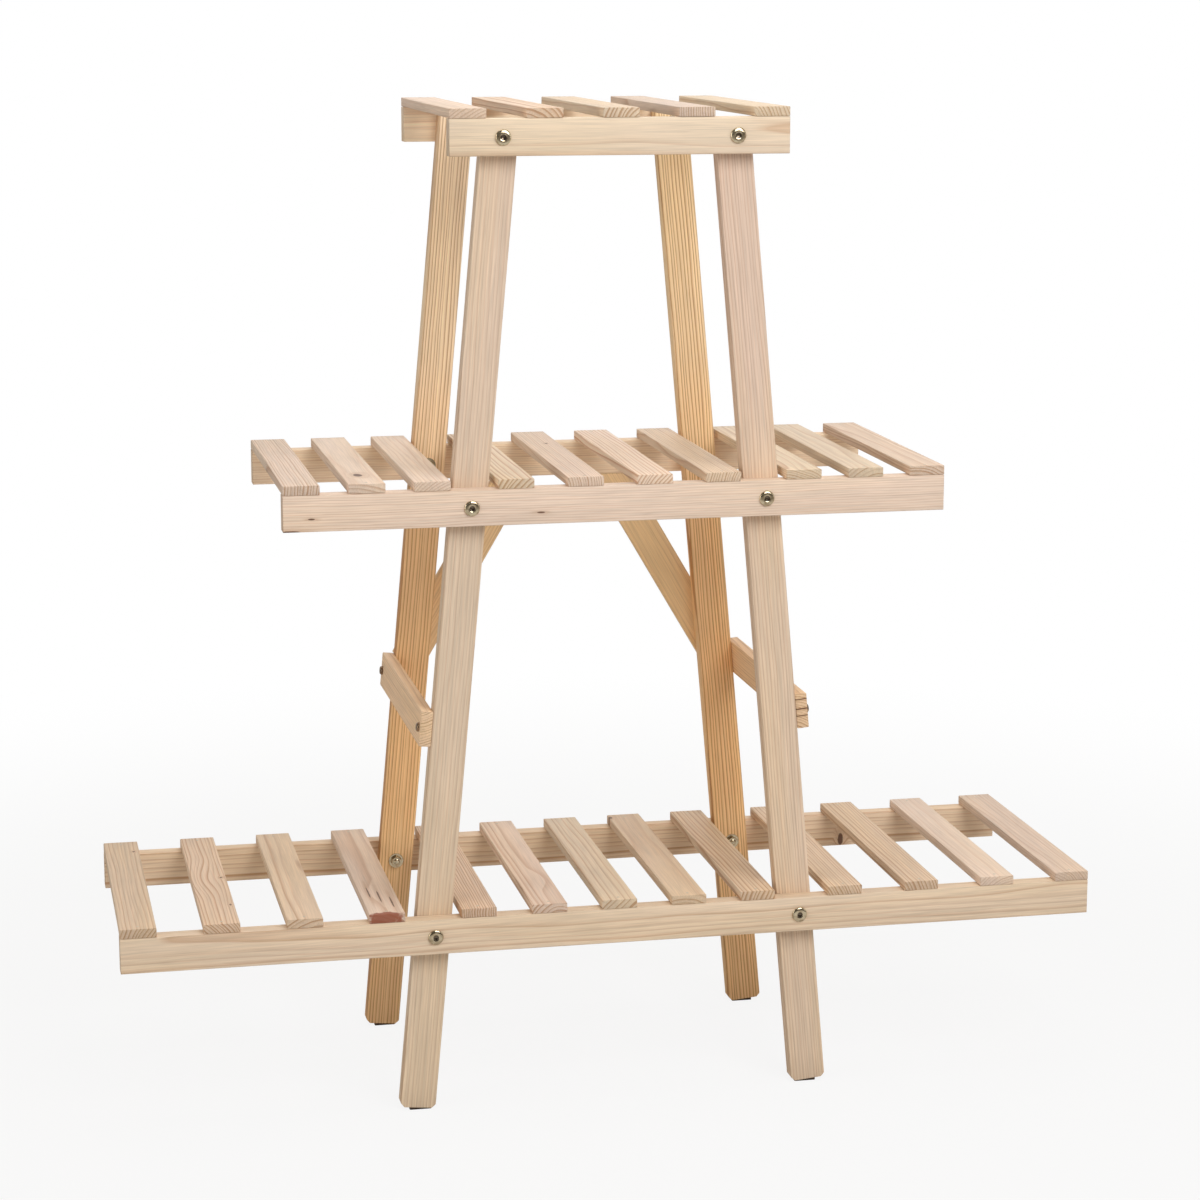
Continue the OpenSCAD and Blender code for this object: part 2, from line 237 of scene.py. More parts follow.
def pine(name, early, late, wood):
    """Pine that is the same all through: rings, fibres, knots and end grain."""
    material, s = new_material(name)
    log = s.attribute("in_log")           # place in the tree it was sawn from
    board = s.attribute("in_board")       # place in the board

    def wood_noise(long, wide, detail, output=0):
        """Noise with this many waves to the metre along and across the grain."""
        return s.noise(s.scaled(log, (long, wide, wide)), detail, output)

    def swayed(place, by, reach):
        """The place moved across the grain by a coloured noise."""
        push = s.scaled(s.vector("SUBTRACT", by, HALF), (0.0, reach, reach))
        return s.vector("ADD", place, push)

    ring, strength, tone = s.split(s.attribute("sawing"))
    tint = s.attribute("tint")
    end = s.attribute("end_grain", "Fac")
    edge = s.attribute("edge_wear", "Fac")
    along, across = s.split(board)[0:2]

    # Knots: a dark heart, and rings that swell round it
    heart, halo, swell = 0.0, 0.0, 0.0
    shapes = s.split(s.attribute("knot_shape"))
    for knot, shape in zip(("knot_a", "knot_b", "knot_c"), shapes):
        kx, ky, size = s.split(s.attribute(knot))
        dx = (along - kx) * shape
        dy = across - ky
        rough = s.noise(s.scaled(board, (160.0, 160.0, 60.0)), 2.0) * 0.5 + 0.75
        apart = (dx * dx + dy * dy) ** 0.5 / (size * rough)
        heart = (1.0 - s.smooth(apart, 0.7, 1.05)) + heart
        near = 1.0 - s.smooth(apart, 0.8, 3.4)
        halo = near + halo
        swell = near * near * size * 1.1 + swell
    # A swirl bends the rings without a knot in the board
    kx, ky, size = s.split(s.attribute("swirl"))
    apart = (((along - kx) * 0.28) ** 2.0 + (across - ky) ** 2.0) ** 0.5 / size
    swell = (1.0 - s.smooth(apart, 0.0, 1.8)) * size * 0.42 + swell

    # Growth rings, bent by slow wandering along the grain
    slow = wood_noise(2.3, 13.0, 2.0, output=1)
    quick = wood_noise(9.0, 70.0, 1.0, output=1)
    y, z = s.split(swayed(swayed(log, slow, 0.016), quick, 0.0016))[1:3]
    radius = (y * y + z * z) ** 0.5 + swell

    # Years differ in width, and in how bold their summer wood is
    years = s.noise(s.join(radius * 120.0, 0.0, 0.0), 1.0)
    bold = s.smooth(s.noise(s.join(radius * 240.0, 7.0, 0.0), 0.0), 0.3, 0.7)
    phase = (radius / ring + years * 1.6).math("FRACT")
    late_wood = s.ramp(phase, (0.0, 0.10), (0.08, 0.0), (0.50, 0.08), (0.76, 0.55),
                       (0.92, 1.0), (1.0, 0.10))

    # Fibres run along the grain; short dark flecks are resin ducts
    fibre = wood_noise(22.0, 850.0, 2.0)
    fleck = s.smooth(wood_noise(42.0, 1500.0, 1.0), 0.66, 0.80)
    patch = wood_noise(4.0, 38.0, 2.0)
    streak = wood_noise(7.0, 240.0, 3.0)

    # How much of the summer wood shows: more in some places and years, and on the ends
    share = late_wood * strength * (patch * 0.9 + 0.55) * (bold * 0.9 + 0.55)
    share = share * (end * 0.9 + 1.0)
    shade = s.mix(share.math("MINIMUM", 1.0), rgba(early), rgba(late))
    shade = s.mix(fleck * 0.30, shade, rgba(late))

    # Fibres, patches and streaks are lighter or darker; ends and worn edges are darker
    light = (fibre - 0.5) * 0.44 + (patch - 0.5) * 0.20 + (streak - 0.5) * 0.26 + tone
    light = light * (1.0 - end * 0.15) * (1.0 - edge * 0.06)
    shade = s.node("ShaderNodeVectorMath", {"operation": "SCALE"},
                   {0: shade, "Scale": light})
    hue = s.smooth(wood_noise(3.0, 24.0, 1.0), 0.35, 0.65)
    shade = s.scaled(shade, s.mix(hue, WARMER, COOLER))
    # The tint also paints light: the rear legs turn paler and lighter above TINT_FROM
    shade = s.scaled(shade, tint)
    shade = s.mix((halo * 0.42).math("MINIMUM", 0.6), shade, rgba(late))
    shade = s.mix(heart.math("MINIMUM", 0.92), shade, rgba(wood.knot))

    # A stain from a resin pocket, on one board's end
    sx, sy, reach = s.split(s.attribute("stain"))
    away = (((along - sx) * 2.6) ** 2.0 + (across - sy) ** 2.0) ** 0.5 / reach
    blotch = s.noise(s.scaled(board, (140.0, 190.0, 190.0)), 3.0)
    stain = s.smooth(away + (blotch - 0.5) * 1.2, 1.0, 0.6)
    shade = s.mix(stain * 0.92, shade, STAIN)

    relief = share * 0.35 + fibre * 0.6 + streak * 0.5
    bump = s.node("ShaderNodeBump", inputs={"Strength": 0.3, "Distance": 0.00009,
                                            "Height": relief})
    s.surface({"Base Color": shade, "Roughness": 0.50 + fibre * 0.16, "Normal": bump})
    return material


def plated(name, metal, film, rough):
    """Plated steel: a clouded film over the metal, fine scratches, and painted shade in a
    head's recess.
    """
    material, s = new_material(name)
    place = s.node("ShaderNodeTexCoord", output="Object")
    cloud = s.noise(s.scaled(place, (190.0, 190.0, 190.0)), 3.0)
    scratch = s.noise(s.scaled(place, (2600.0, 260.0, 900.0)), 2.0)
    grime = s.attribute("grime", "Fac")
    shade = s.mix(s.smooth(cloud, 0.35, 0.68), rgba(metal), rgba(film))
    # Painted shade: the marked recess of a head is darkened
    shade = s.mix(grime * 0.8, shade, RECESS_SHADE)
    bump = s.node("ShaderNodeBump", inputs={"Strength": 0.15, "Distance": 0.00005,
                                            "Height": scratch})
    s.surface({"Base Color": shade, "Metallic": 0.96 - cloud * 0.1,
               "Roughness": rough + cloud * 0.12 + scratch * 0.04, "Normal": bump})
    return material


def soft_pad(name, shade):
    """Dense felt: short matted fibres with a little dust in them."""
    material, s = new_material(name)
    place = s.node("ShaderNodeTexCoord", output="Object")
    mat = s.noise(s.scaled(place, (900.0, 900.0, 900.0)), 4.0)
    dust = s.smooth(s.noise(s.scaled(place, (260.0, 260.0, 260.0)), 3.0), 0.5, 0.8)
    base = s.mix(mat, rgba(shade), rgba(toned(shade, 2.2)))
    base = s.mix(dust * 0.3, base, DUST)
    bump = s.node("ShaderNodeBump", inputs={"Strength": 0.6, "Distance": 0.0003,
                                            "Height": mat})
    s.surface({"Base Color": base, "Roughness": 0.85 + mat * 0.1, "Normal": bump})
    return material


# ---------------------------------------------------------------- boards

# Tints of single boards against the colour of their wood
PINK, ROSY = (0.98, 0.945, 0.965), (0.97, 0.91, 0.87)
CREAM, TAN = (0.99, 0.99, 0.945), (0.96, 0.91, 0.84)
PALE, DULL = (1.02, 1.005, 1.045), (1.04, 1.03, 1.14)
ROSE, STRAW = (0.985, 0.957, 0.93), (0.985, 0.97, 0.935)

# How a board was sawn: turn of the rings against its broad face in degrees, distance
# to the pith, ring width as a share of the setting, how strong the summer wood is,
# tone, tint, and the tint that a leg takes on above TINT_FROM, which on the rear legs
# is painted light: they turn paler and lighter towards the top. Knots, a swirl and a
# stain are (place along, place across, radius). A knot's fourth number, where given, is
# its width as a share of its length: a small one makes it a crack or a resin streak.
SAWING = {
    "front_left_leg": dict(turn=76, pith=0.060, ring=1.15, strength=0.46, tone=0.935,
                           tint=STRAW, top_tint_and_light=(0.985, 0.955, 0.95)),
    "front_right_leg": dict(turn=70, pith=0.070, ring=1.0, strength=0.6, tone=0.955,
                            tint=ROSE, top_tint_and_light=(0.98, 0.93, 0.95)),
    # Painted light: the rear legs' top tints make their upper part paler and lighter
    "rear_left_leg": dict(turn=88, pith=0.090, ring=1.05, strength=1.2, tone=0.98,
                          tint=(1.02, 0.94, 0.86), top_tint_and_light=(1.10, 1.22, 1.50)),
    "rear_right_leg": dict(turn=86, pith=0.080, ring=1.1, strength=1.5, tone=1.0,
                           tint=(1.05, 0.96, 0.86), top_tint_and_light=(1.08, 1.14, 1.22)),
    "bottom_rear_rail": dict(turn=78, pith=0.060, ring=1.7, strength=0.9, tone=1.07,
                             tint=TAN, knots=[(0.3195, 0.0105, 0.0075, 2.2)]),
    "bottom_front_rail": dict(turn=24, pith=0.050, ring=1.1, strength=0.50, tint=STRAW),
    "middle_front_rail": dict(turn=64, pith=0.070, ring=0.8, strength=0.50, tone=1.0,
                              tint=PALE,
                              knots=[(-0.305, 0.0055, 0.0009, 0.25),
                                     (-0.080, 0.0063, 0.0009, 0.2),
                                     (-0.325, 0.0178, 0.0016, 0.16)]),
    # Painted light: tone raised so the rail's inner face, shaded by the slats, reads lighter
    "middle_rear_rail": dict(turn=60, strength=0.5, tone=1.17, tint=(0.97, 0.945, 0.89)),
    "top_front_rail": dict(turn=10, pith=0.050, ring=1.4, strength=0.50,
                           tint=(0.97, 0.975, 0.955)),
    # Painted light: tone raised so the rail's inner face, shaded by the slats, reads lighter
    "top_rear_rail": dict(turn=24, ring=1.1, strength=0.4, tone=1.16, tint=CREAM),
    "left_side_brace": dict(turn=72, ring=0.9, strength=0.4, tint=(1.04, 1.06, 1.23)),
    "right_side_brace": dict(turn=66, ring=0.9, strength=0.5, tint=DULL,
                             knots=[(-0.1395, 0.0122, 0.0006, 0.05),
                                    (-0.1395, 0.0022, 0.0007, 0.05),
                                    (-0.1395, -0.0050, 0.0005, 0.05)]),
    "left_diagonal_brace": dict(turn=74, ring=1.0, strength=0.36),
    "right_diagonal_brace": dict(turn=58, ring=1.1, strength=0.24),
    "bottom_slat_1": dict(turn=60, ring=1.1, strength=0.7, tone=0.89, tint=TAN,
                          knots=[(0.118, -0.012, 0.0015)]),
    "bottom_slat_2": dict(turn=50, pith=0.045, ring=0.9, strength=0.9, tint=ROSY,
                          knots=[(0.003, -0.0126, 0.0014), (-0.094, -0.0139, 0.0014)],
                          swirl=(0.005, 0.006, 0.013)),
    "bottom_slat_3": dict(turn=18, pith=0.040, ring=1.5, strength=0.6, tint=TAN),
    "bottom_slat_4": dict(turn=20, pith=0.045, ring=1.4, strength=0.55, tint=PINK,
                          stain=(-0.1575, 0.002, 0.020), swirl=(-0.085, 0.002, 0.009),
                          knots=[(-0.082, 0.009, 0.0009, 0.045),
                                 (-0.096, 0.000, 0.0010, 0.045),
                                 (-0.117, -0.010, 0.0010, 0.05)]),
    "bottom_slat_5": dict(turn=87, ring=0.8, strength=1.45, tint=ROSY),
    "bottom_slat_6": dict(turn=26, ring=1.3, strength=0.8, tint=PINK,
                          swirl=(-0.070, -0.005, 0.008)),
    "bottom_slat_7": dict(turn=44, ring=1.7, strength=0.9, tint=CREAM),
    "bottom_slat_8": dict(turn=10, pith=0.030, ring=1.6, strength=0.5, tint=TAN,
                          knots=[(0.146, 0.0165, 0.0022)]),
    "bottom_slat_9": dict(turn=62, ring=1.2, strength=1.1, tint=TAN),
    "bottom_slat_10": dict(turn=70, ring=1.0, strength=0.9, tint=TAN),
    "bottom_slat_11": dict(turn=66, ring=1.1, strength=0.95, tint=TAN),
    "bottom_slat_12": dict(turn=30, ring=1.0, strength=0.35, tint=PALE),
    "bottom_slat_13": dict(turn=34, ring=0.8, strength=0.4, tone=0.96, tint=PINK),
    "middle_slat_1": dict(turn=85, ring=0.9, strength=0.9, tone=0.92, tint=PALE),
    "middle_slat_2": dict(turn=10, strength=0.45, tint=PALE,
                          knots=[(-0.102, 0.002, 0.0050)]),
    "middle_slat_3": dict(turn=30, strength=0.4, tone=1.03, tint=PALE),
    "middle_slat_4": dict(turn=42, ring=1.2, strength=1.1, tint=CREAM),
    "middle_slat_5": dict(turn=80, ring=0.8, strength=0.7, tint=PALE,
                          knots=[(0.070, -0.004, 0.0016)]),
    "middle_slat_6": dict(turn=58, ring=1.0, strength=1.15, tone=1.20,
                          tint=(1.02, 1.02, 1.08)),
    "middle_slat_7": dict(turn=76, ring=0.8, strength=0.7, tone=1.03,
                          tint=(1.0, 0.985, 0.975)),
    "middle_slat_8": dict(turn=22, strength=0.6, tint=CREAM),
    "middle_slat_9": dict(turn=25, ring=1.2, strength=0.5, tint=CREAM),
    "middle_slat_10": dict(turn=20, ring=1.1, strength=0.8, tint=PINK),
    "top_slat_1": dict(turn=30, ring=1.0, strength=0.4, tint=PINK),
    "top_slat_2": dict(turn=38, pith=0.035, ring=1.5, strength=1.4, tint=ROSY),
    "top_slat_3": dict(turn=50, pith=0.050, ring=1.2, strength=1.1, tint=CREAM),
    "top_slat_4": dict(turn=84, ring=0.8, strength=0.7, tone=0.89, tint=PALE),
    "top_slat_5": dict(turn=60, ring=1.0, strength=0.6, tint=CREAM),
}
NOWHERE = (9.0, 9.0, 0.0001)         # a knot or stain that the board doesn't have
KNOTS = 3                            # knots that a board can have
KNOT_SHARE = 0.55                    # a knot's fourth number, where none is given
TINT_FROM, TINT_RISE = 0.56, 0.18    # height where a leg's tint turns, and over how much; painted light on the rear legs
CUT_SPACING = 0.03                   # distance between the cross cuts of a board's mesh
END_LEAN = 0.3                       # a face that leans this far along the grain is an end


def upright(direction):
    """The same line, pointing towards +X, else +Y, else +Z."""
    for part in direction:
        if abs(part) > SQUARE:
            return direction if part > 0 else -direction
    return direction


class Board:
    """A board's own axes, outline and thickness, read from its solid."""

    def __init__(self, node):
        mesh = NODES[node].data
        areas = {}
        for face in mesh.polygons:
            # Adding 0.0 makes one key of 0.0 and -0.0
            key = tuple(round(part, 3) + 0.0 for part in upright(face.normal))
            areas[key] = areas.get(key, 0) + face.area
        normals = sorted(areas, key=areas.get, reverse=True)
        self.thick = Vector(normals[0]).normalized()
        side = next(n for n in map(Vector, normals) if abs(n.dot(self.thick)) < SQUARE)
        self.grain = self.thick.cross(side).normalized()
        if self.grain.dot(UP_BACK_RIGHT) < 0:
            self.grain = -self.grain
        self.wide = self.thick.cross(self.grain)
        spread = [[v.co.dot(axis) for v in mesh.vertices]
                  for axis in (self.grain, self.wide, self.thick)]
        self.middle = [(min(s) + max(s)) / 2 for s in spread]
        self.size = [max(s) - min(s) for s in spread]
        flat = [Vector((u - self.middle[0], w - self.middle[1]))
                for u, w in zip(spread[0], spread[1])]
        self.outline = self.tidy([flat[i] for i in geometry.convex_hull_2d(flat)])

    @staticmethod
    def tidy(outline, apart=0.0001, bend=0.01):
        """The outline without corners that lie closer together than this, or that
        bend it by less than this sine."""
        kept = []
        for point in outline:
            if not kept or (point - kept[-1]).length > apart:
                kept.append(point)
        corners = []
        for i, point in enumerate(kept):
            before = (point - kept[i - 1]).normalized()
            after = (kept[(i + 1) % len(kept)] - point).normalized()
            if abs(before.cross(after)) > bend:
                corners.append(point)
        return corners

    def matrix(self):
        turn = Matrix((self.grain, self.wide, self.thick)).transposed()
        return Matrix.Translation(turn @ Vector(self.middle)) @ turn.to_4x4()


def is_end(face):
    return abs(face.normal.x) > END_LEAN


def wander(along, across, face):
    """Share of the planing depth that is taken off here, from a tenth to all of it."""
    return 0.55 + 0.45 * noise.noise(Vector((along * 9, face, across * 14)))


def put_in_order(parts, place):
    """Sort points or faces by place, since Blender's order differs from run to run."""
    for index, part in enumerate(sorted(parts, key=lambda part: place(part)[:])):
        part.index = index
    parts.sort()


def board_mesh(board, wood, seed):
    """A planed board with rounded long edges, broken ends and faces that wander."""
    half = board.size[2] / 2
    bm = bmesh.new()
    low = [bm.verts.new((p.x, p.y, -half)) for p in board.outline]
    high = [bm.verts.new((p.x, p.y, half)) for p in board.outline]
    bm.faces.new(low)
    bm.faces.new(high)
    for i in range(len(low)):
        j = (i + 1) % len(low)
        bm.faces.new((low[i], low[j], high[j], high[i]))
    bmesh.ops.recalc_face_normals(bm, faces=bm.faces)

    long_edges = [e for e in bm.edges
                  if abs((e.verts[0].co - e.verts[1].co).normalized().x) > ALONG]
    bmesh.ops.bevel(bm, geom=long_edges, offset=wood.arris, segments=3, profile=0.5,
                    affect="EDGES", clamp_overlap=True)
    bm.normal_update()
    rim = [e for e in bm.edges if len({is_end(face) for face in e.link_faces}) == 2]
    bmesh.ops.bevel(bm, geom=rim, offset=wood.end_break, segments=2, profile=0.5,
                    affect="EDGES", clamp_overlap=True)

    # Cross cuts, so that the faces can wander
    start = min(p.x for p in board.outline)
    span = max(p.x for p in board.outline) - start
    cuts = max(4, round(span / CUT_SPACING))
    for i in range(1, cuts):
        bmesh.ops.bisect_plane(bm, geom=bm.verts[:] + bm.edges[:] + bm.faces[:],
                               plane_co=(start + span * i / cuts, 0, 0), plane_no=X)
    for vert in bm.verts:
        x, y, z = vert.co
        for axis, reach, value in ((1, board.size[1] / 2, y), (2, half, z)):
            if abs(value) < reach - wood.arris * 0.5:
                continue
            side = math.copysign(1, value)
            face = seed + side * 7 + axis * 31        # its own waves on each face
            drift = wander(x, vert.co[3 - axis], face)
            vert.co[axis] -= side * wood.planing * drift
    put_in_order(bm.verts, lambda vert: vert.co)
    put_in_order(bm.faces, lambda face: face.calc_center_median())
    bm.normal_update()
    mesh = bpy.data.meshes.new("board")
    bm.to_mesh(mesh)
    bm.free()
    return mesh


def grain_attributes(mesh, board, wood, name):
    """Where each point lies in the log and in the board, and how the board was sawn."""
    pick = random.Random(name)       # for what SAWING doesn't say of this board
    notes = SAWING.get(name, {})
    turn = math.radians(notes.get("turn", pick.uniform(0, 90)))
    turn *= pick.choice((-1, 1))
    pith = notes.get("pith", pick.uniform(0.030, 0.095))
    ring = wood.ring * notes.get("ring", pick.uniform(0.75, 1.35))
    strength = notes.get("strength", pick.uniform(0.30, 0.62))
    tone = notes.get("tone", pick.uniform(0.95, 1.04))
    tint = notes.get("tint", (1.0, 1.0, 1.0))
    top_tint_and_light = notes.get("top_tint_and_light", tint)
    slope = pick.uniform(-0.022, 0.022)
    start = pick.uniform(0, 40)
    knots = [*notes.get("knots", []), *[NOWHERE] * KNOTS][:KNOTS]
    knots = [(*knot, KNOT_SHARE)[:4] for knot in knots]

    def fill(attribute, values, kind="FLOAT_VECTOR", domain="POINT"):
        layer = mesh.attributes.new(attribute, kind, domain)
        layer.data.foreach_set("vector" if kind == "FLOAT_VECTOR" else "value", values)

    count = len(mesh.vertices)
    logs, places, edges, tints_and_light = [], [], [], []
    to_stand = board.matrix()
    full_wear = 1.4 * wood.arris     # of the depth into the two faces, summed
    for vert in mesh.vertices:
        x, y, z = vert.co
        across = y * math.cos(turn) - z * math.sin(turn) + x * slope
        out = y * math.sin(turn) + z * math.cos(turn) + pith
        logs += [x + start, across, out]
        places += [x, y, z]
        # Painted light: above TINT_FROM a leg's tint turns to its top tint, so the rear legs
        # are lighter at the top
        aloft = min(1.0, max(0.0, ((to_stand @ vert.co).z - TINT_FROM) / TINT_RISE))
        tints_and_light += [low + (top - low) * aloft for low, top in zip(tint, top_tint_and_light)]
        depth = max(0.0, abs(y) - (board.size[1] / 2 - wood.arris))
        depth += max(0.0, abs(z) - (board.size[2] / 2 - wood.arris))
        edges.append(min(1.0, depth / full_wear) if depth > wood.arris else 0.0)
    fill("in_log", logs)
    fill("in_board", places)
    fill("edge_wear", edges, "FLOAT")
    fill("end_grain", [float(is_end(face)) for face in mesh.polygons], "FLOAT", "FACE")
    fill("sawing", [ring, strength, tone] * count)
    fill("tint", tints_and_light)
    for letter, knot in zip("abc", knots):
        fill("knot_" + letter, list(knot[:3]) * count)
    fill("knot_shape", [knot[3] for knot in knots] * count)
    for mark in ("swirl", "stain"):
        fill(mark, list(notes.get(mark, NOWHERE)) * count)


def shade_smooth(mesh, sharp):
    """Smooth shading, but for edges that bend by more than this many degrees."""
    for face in mesh.polygons:
        face.use_smooth = True
    mesh.set_sharp_from_angle(angle=math.radians(sharp))


def add_object(name, data, matrix):
    item = bpy.data.objects.new(name, data)
    bpy.context.scene.collection.objects.link(item)
    item.matrix_world = matrix
    return item


def add_piece(name, mesh, material, matrix, node):
    """Add a piece of the stand: placed, dressed, tied to the frame, for its node."""
    mesh.materials.append(material)
    piece = add_object(name, mesh, matrix)
    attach(piece, "root")
    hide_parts(node)


def add_board(node, warm=False):
    """A planed board in the place of its node's solid."""
    wood = bpy.context.scene.plant_stand_wood
    board = Board(node)
    mesh = board_mesh(board, wood, sum(map(ord, node)))
    grain_attributes(mesh, board, wood, node)
    shade_smooth(mesh, sharp=35)
    name = "warm_pine" if warm else "pale_pine"
    material = bpy.data.materials.get(name + "_grain")
    if material is None:
        early = wood.warm_early if warm else wood.pale_early
        late = wood.warm_late if warm else wood.pale_late
        material = pine(name + "_grain", early, late, wood)
    add_piece(node + "_board", mesh, material, board.matrix(), node)


# ---------------------------------------------------------------- turned pieces

def circle(radius):
    """Distance to the edge of a circle, at any angle."""
    return lambda angle: radius


def hexagon(across_flats):
    """Distance to the edge of a hexagon whose corners lie on the points round."""
    return lambda angle: across_flats / 2 / math.cos(
        (angle + math.pi / 6) % (math.pi / 3) - math.pi / 6)


def cross(long, wide):
    """Distance to the edge of a cross recess with arms of this length and width."""
    def reach(angle):
        off = abs((angle + math.pi / 4) % (math.pi / 2) - math.pi / 4)
        if math.tan(off) <= wide / long:
            return long / 2 / math.cos(off)
        return wide / 2 / math.sin(off)
    return reach


def smaller(first, second):
    """Distance to the nearer of two edges."""
    return lambda angle: min(first(angle), second(angle))


def loft(rings, closed=False):
    """A turned solid through rings of (height, distance from the axis at an angle)."""
    bm = bmesh.new()
    loops = []
    for height, reach in rings:
        loop = []
        for step in range(AROUND):
            angle = 2 * math.pi * step / AROUND
            loop.append(bm.verts.new((reach(angle) * math.cos(angle),
                                      reach(angle) * math.sin(angle), height)))
        loops.append(loop)
    pairs = list(zip(loops, loops[1:]))
    if closed:
        pairs.append((loops[-1], loops[0]))
    else:
        bm.faces.new(loops[0])
        bm.faces.new(loops[-1])
    for one, two in pairs:
        for i in range(AROUND):
            j = (i + 1) % AROUND
            bm.faces.new((one[i], one[j], two[j], two[i]))
    bmesh.ops.recalc_face_normals(bm, faces=bm.faces)
    return bm


def shade_recess(bm, radius, deep):
    """Mark the recess in a head's top, where painted shade darkens it."""
    shallow = 0.0001
    grime = bm.verts.layers.float.new("grime")
    for vert in bm.verts:
        inside = vert.co.xy.length < radius and -deep < vert.co.z < -shallow
        vert[grime] = 1.0 if inside else 0.0
    return bm


def axis_matrix(origin, outward):
    """Local Z along outward, with a level local X."""
    steep = abs(outward.z) >= 0.9
    level = (X if steep else Z).cross(outward).normalized()
    turn = Matrix((level, outward.cross(level), outward)).transposed()
    return Matrix.Translation(origin) @ turn.to_4x4()


def solids_of(node, outward):
    """For each solid of a node: a matrix at the middle of its outer end, with local Z
    pointing out, its length along that line and its width across it."""
    bm = bmesh.new()
    bm.from_mesh(NODES[node].data)
    bmesh.ops.remove_doubles(bm, verts=bm.verts, dist=1e-6)
    seen = set()
    found = []
    for first in bm.verts:
        if first in seen:
            continue
        island, waiting = [], [first]
        seen.add(first)
        while waiting:
            vert = waiting.pop()
            island.append(vert.co.copy())
            for link in vert.link_edges:
                other = link.other_vert(vert)
                if other not in seen:
                    seen.add(other)
                    waiting.append(other)
        middle = sum(island, Vector()) / len(island)
        out = outward(middle).normalized()
        axes = axis_matrix(Vector(), out).to_3x3()
        local = [axes.transposed() @ p for p in island]
        low = [min(p[i] for p in local) for i in range(3)]
        high = [max(p[i] for p in local) for i in range(3)]
        top = axes @ Vector(((low[0] + high[0]) / 2, (low[1] + high[1]) / 2, high[2]))
        found.append((axis_matrix(top, out), high[2] - low[2], high[0] - low[0]))
    bm.free()
    return found


def add_fixings(node, outward, draw, material):
    """One piece that holds a drawn fixing at each of the node's solids."""
    whole = bmesh.new()
    for matrix, long, wide in solids_of(node, outward):
        one = draw(long, wide)
        one.transform(matrix)
        scrap = bpy.data.meshes.new("one")
        one.to_mesh(scrap)
        one.free()
        whole.from_mesh(scrap)
        bpy.data.meshes.remove(scrap)
    mesh = bpy.data.meshes.new(node)
    whole.to_mesh(mesh)
    whole.free()
    shade_smooth(mesh, sharp=32)
    add_piece(node + "_turned", mesh, material, Matrix.Identity(4), node)


def refinish(node, material):
    """The node's own solids stay, in this material."""
    materials = NODES[node].data.materials
    materials.clear()
    materials.append(material)


def to_front_or_back(middle):
    return Vector((0, math.copysign(1, middle.y), 0))


def to_middle(middle):
    return -to_front_or_back(middle)


def dome_rings(radius, high, rim, crown):
    """From under the head, up its rim and over the dome to the edge of the crown."""
    soft, steps = 0.0003, 7
    rings = [(-high, circle(radius - soft)), (-high + soft, circle(radius)),
             (-high + rim, circle(radius))]
    for i in range(1, steps + 1):
        angle = math.pi / 2 * i / steps
        rings.append((-high + rim + (high - rim) * math.sin(angle),
                      circle(crown + (radius - crown) * math.cos(angle))))
    return rings


def thread_rings(low, high, pitch, crest, root, rise, fall):
    """Turns of a thread from one height past another. Each reaches its crest at one
    share of the pitch and leaves it at the other, for the root."""
    rings = []
    while low < high:
        rings += [(low + pitch * rise, circle(crest)), (low + pitch * fall, circle(crest)),
                  (low + pitch, circle(root))]
        low += pitch
    return rings


def draw_bolt(long, wide):
    """Wide-headed bolt with a hexagon socket; its head's top is at z = 0."""
    pitch = bpy.context.scene.plant_stand_fixings.thread
    head, rim, crown = 0.0026, 0.0009, 0.0038
    shank, thread_deep, threaded = 0.003, 0.00045, 0.009
    tip, tip_radius, tip_root = 0.0007, 0.0020, 0.0026
    dish = ((0.00006, 0.0035), (0.00022, 0.0031), (0.00034, 0.0027))     # depth, radius
    socket = ((0.00038, 0.0043), (0.0006, 0.0040), (0.0019, 0.0039))     # depth, flats
    drill_point = (-0.0023, circle(0.0008))
    # painted shade reaches out to this radius in the head's top
    shaded_radius = 0.0029
    rings = [(-long, circle(tip_radius)), (-long + tip, circle(tip_root))]
    rings += thread_rings(-long + tip, -long + threaded, pitch, shank,
                          shank - thread_deep, 0.25, 0.5)
    rings.append((-head, circle(shank)))
    rings += dome_rings(wide / 2, head, rim, crown)
    rings += [(-deep, circle(radius)) for deep, radius in dish]
    rings += [(-deep, hexagon(flats)) for deep, flats in socket]
    rings.append(drill_point)
    return shade_recess(loft(rings), shaded_radius, head)


def draw_nut(long, wide):
    """Hexagon nut, its corners turned off at both faces, on the bolt's end."""
    flats, bore, soft = 0.010, 0.00305, 0.0004
    face_radius = flats / 2 * 0.985
    turned_down, widening, steps = 0.0009, 1.15, 3
    corners = []
    for i in range(steps + 1):
        drop = turned_down * i / steps
        turned = circle(face_radius + drop * widening)
        corners.append((-drop, smaller(hexagon(flats), turned)))
    mirrored = [(-long - height, reach) for height, reach in reversed(corners)]
    rings = [(0.0, circle(bore + soft)), *corners, *mirrored, (-long, circle(bore + soft)),
             (-long + soft, circle(bore)), (-soft, circle(bore))]
    return loft(rings, closed=True)


def draw_washer(long, wide):
    """Flat washer with its edges taken off."""
    out, bore, soft = wide / 2, 0.0032, 0.0002
    rings = [(-soft, circle(bore)), (0.0, circle(bore + soft)), (0.0, circle(out - soft)),
             (-soft, circle(out)), (-long + soft, circle(out)), (-long, circle(out - soft)),
             (-long, circle(bore + soft)), (-long + soft, circle(bore))]
    return loft(rings, closed=True)


